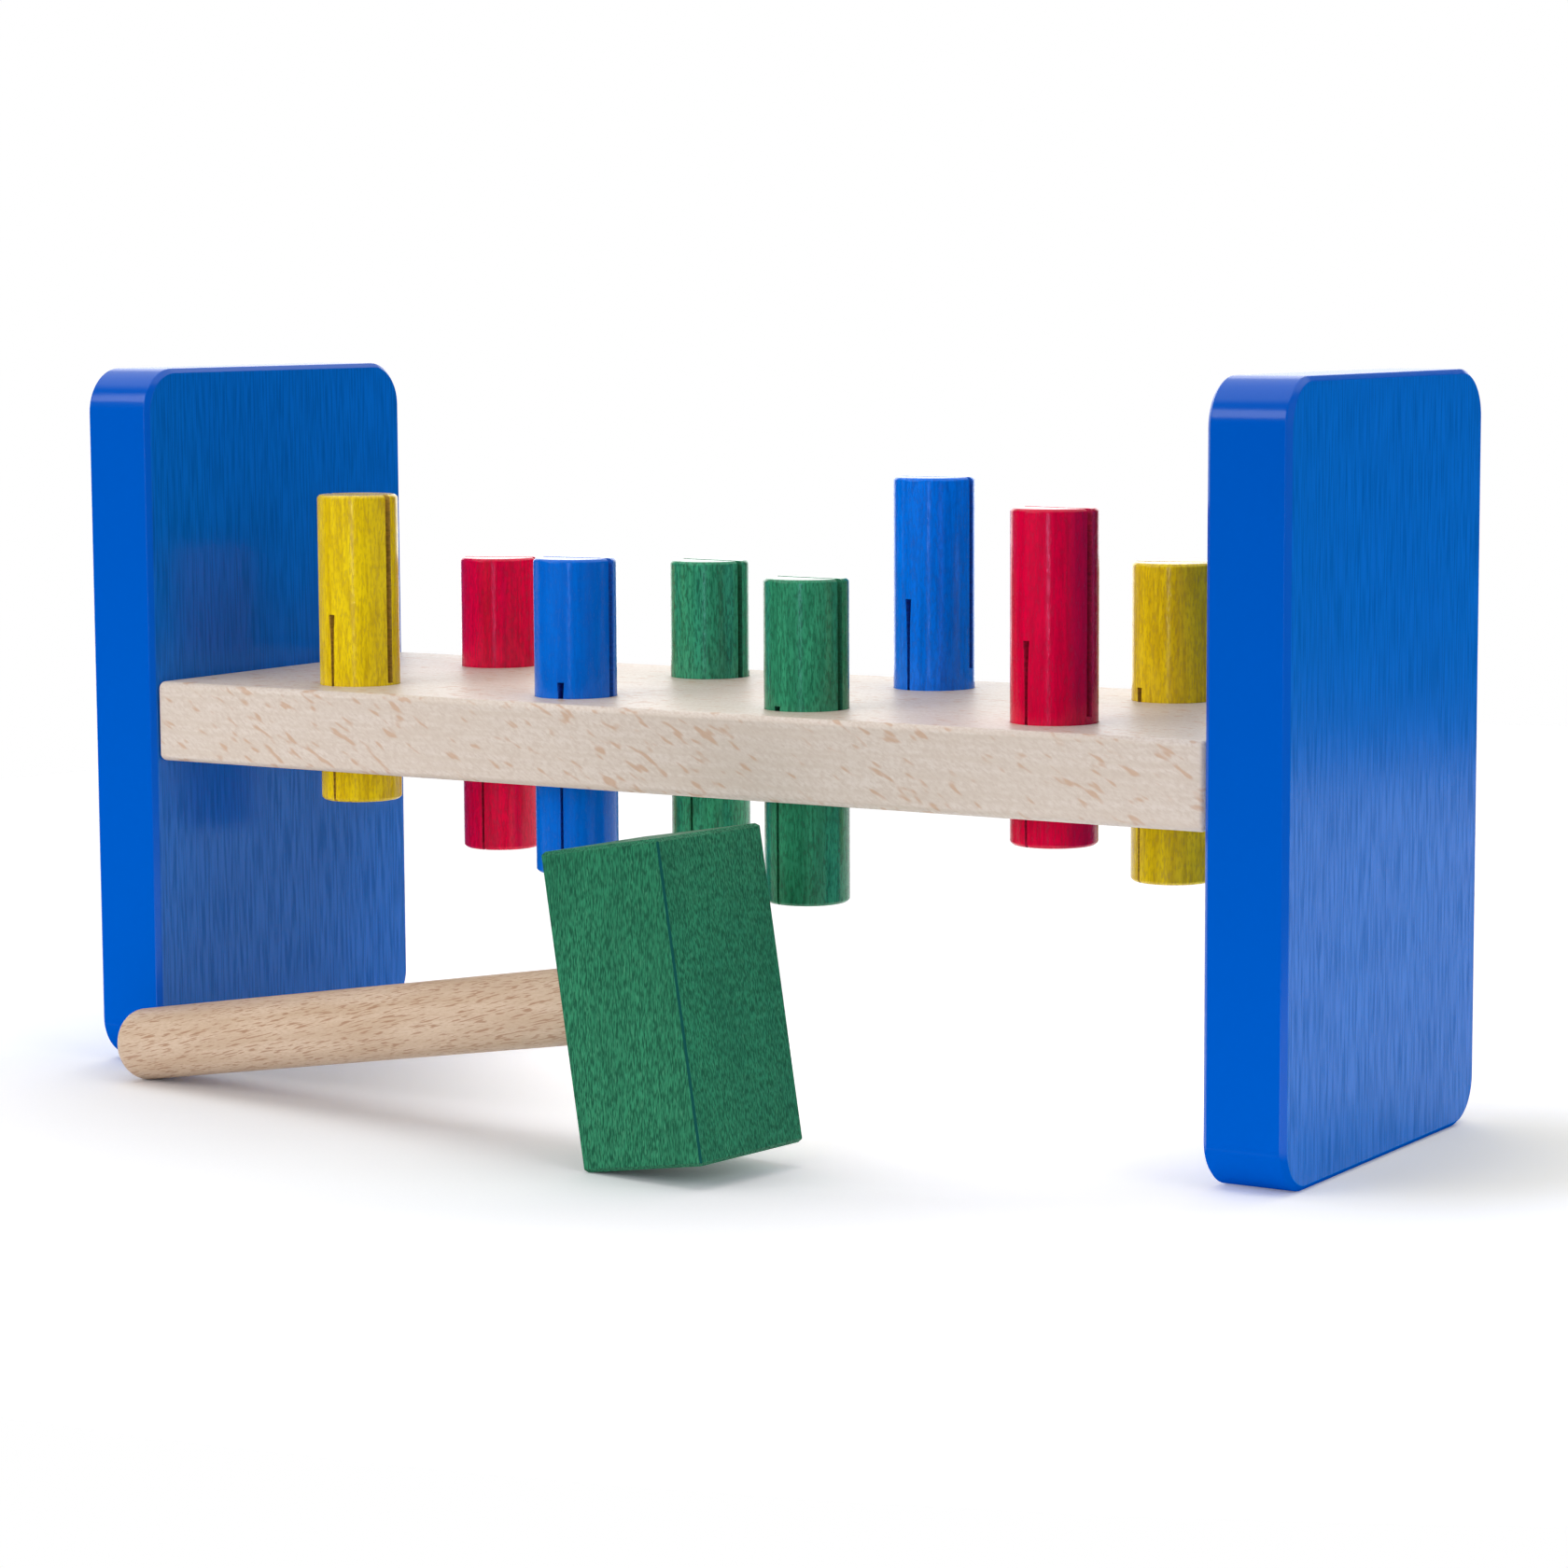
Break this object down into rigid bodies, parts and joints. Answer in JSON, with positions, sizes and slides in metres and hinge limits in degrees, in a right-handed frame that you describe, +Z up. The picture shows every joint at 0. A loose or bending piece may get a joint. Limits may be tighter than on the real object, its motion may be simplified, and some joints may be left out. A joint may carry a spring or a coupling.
{
  "type": "peg pounding bench",
  "caption": "Wooden pounding bench: a peg board between upright end boards holds rows of slotted coloured pegs that a separate mallet drives through, then it is turned over.",
  "frame": {"origin": "on the floor, in the middle of the ground that the bench and the mallet in front of it cover together", "axes": "+X along the bench to the right, +Y from the front row of pegs to the back row, +Z up"},
  "size_m": [0.3, 0.1452, 0.159],
  "materials": {
    "blue_stained_beech": "blue stain under satin lacquer",
    "natural_beech": "clear satin lacquer",
    "dowel_beech": "bare, glued in",
    "yellow_lacquer": "coloured gloss lacquer",
    "blue_lacquer": "coloured gloss lacquer",
    "green_lacquer": "coloured gloss lacquer",
    "red_lacquer": "coloured gloss lacquer",
    "green_stained_beech": "green stain under satin lacquer",
    "handle_beech": "clear satin lacquer"
  },
  "bodies": {
    "bench": {"left_end_board": "blue_stained_beech", "right_end_board": "blue_stained_beech", "peg_board": "natural_beech", "left_dowel_front": "dowel_beech", "left_dowel_middle": "dowel_beech", "left_dowel_back": "dowel_beech", "right_dowel_front": "dowel_beech", "right_dowel_middle": "dowel_beech", "right_dowel_back": "dowel_beech"},
    "front_yellow": {"front_yellow_peg": "yellow_lacquer"},
    "front_blue": {"front_blue_peg": "blue_lacquer"},
    "front_green": {"front_green_peg": "green_lacquer"},
    "front_red": {"front_red_peg": "red_lacquer"},
    "back_red": {"back_red_peg": "red_lacquer"},
    "back_green": {"back_green_peg": "green_lacquer"},
    "back_blue": {"back_blue_peg": "blue_lacquer"},
    "back_yellow": {"back_yellow_peg": "yellow_lacquer"},
    "mallet": {"mallet_head": "green_stained_beech", "mallet_handle": "handle_beech"}
  },
  "joints": [
    {"name": "front_yellow_slide", "type": "slide", "parent": "bench", "child": "front_yellow", "axis": [0, 0, 1], "range_m": [-0.0425, 0.008]},
    {"name": "front_blue_slide", "type": "slide", "parent": "bench", "child": "front_blue", "axis": [0, 0, 1], "range_m": [-0.03, 0.0205]},
    {"name": "front_green_slide", "type": "slide", "parent": "bench", "child": "front_green", "axis": [0, 0, 1], "range_m": [-0.0275, 0.023]},
    {"name": "front_red_slide", "type": "slide", "parent": "bench", "child": "front_red", "axis": [0, 0, 1], "range_m": [-0.0435, 0.007]},
    {"name": "back_red_slide", "type": "slide", "parent": "bench", "child": "back_red", "axis": [0, 0, 1], "range_m": [-0.0255, 0.025]},
    {"name": "back_green_slide", "type": "slide", "parent": "bench", "child": "back_green", "axis": [0, 0, 1], "range_m": [-0.0265, 0.024]},
    {"name": "back_blue_slide", "type": "slide", "parent": "bench", "child": "back_blue", "axis": [0, 0, 1], "range_m": [-0.0465, 0.004]},
    {"name": "back_yellow_slide", "type": "slide", "parent": "bench", "child": "back_yellow", "axis": [0, 0, 1], "range_m": [-0.0295, 0.021]},
    {"name": "mallet_lift", "type": "slide", "parent": "bench", "child": "mallet", "axis": [0, 0, 1], "range_m": [0, 0.15]}
  ]
}
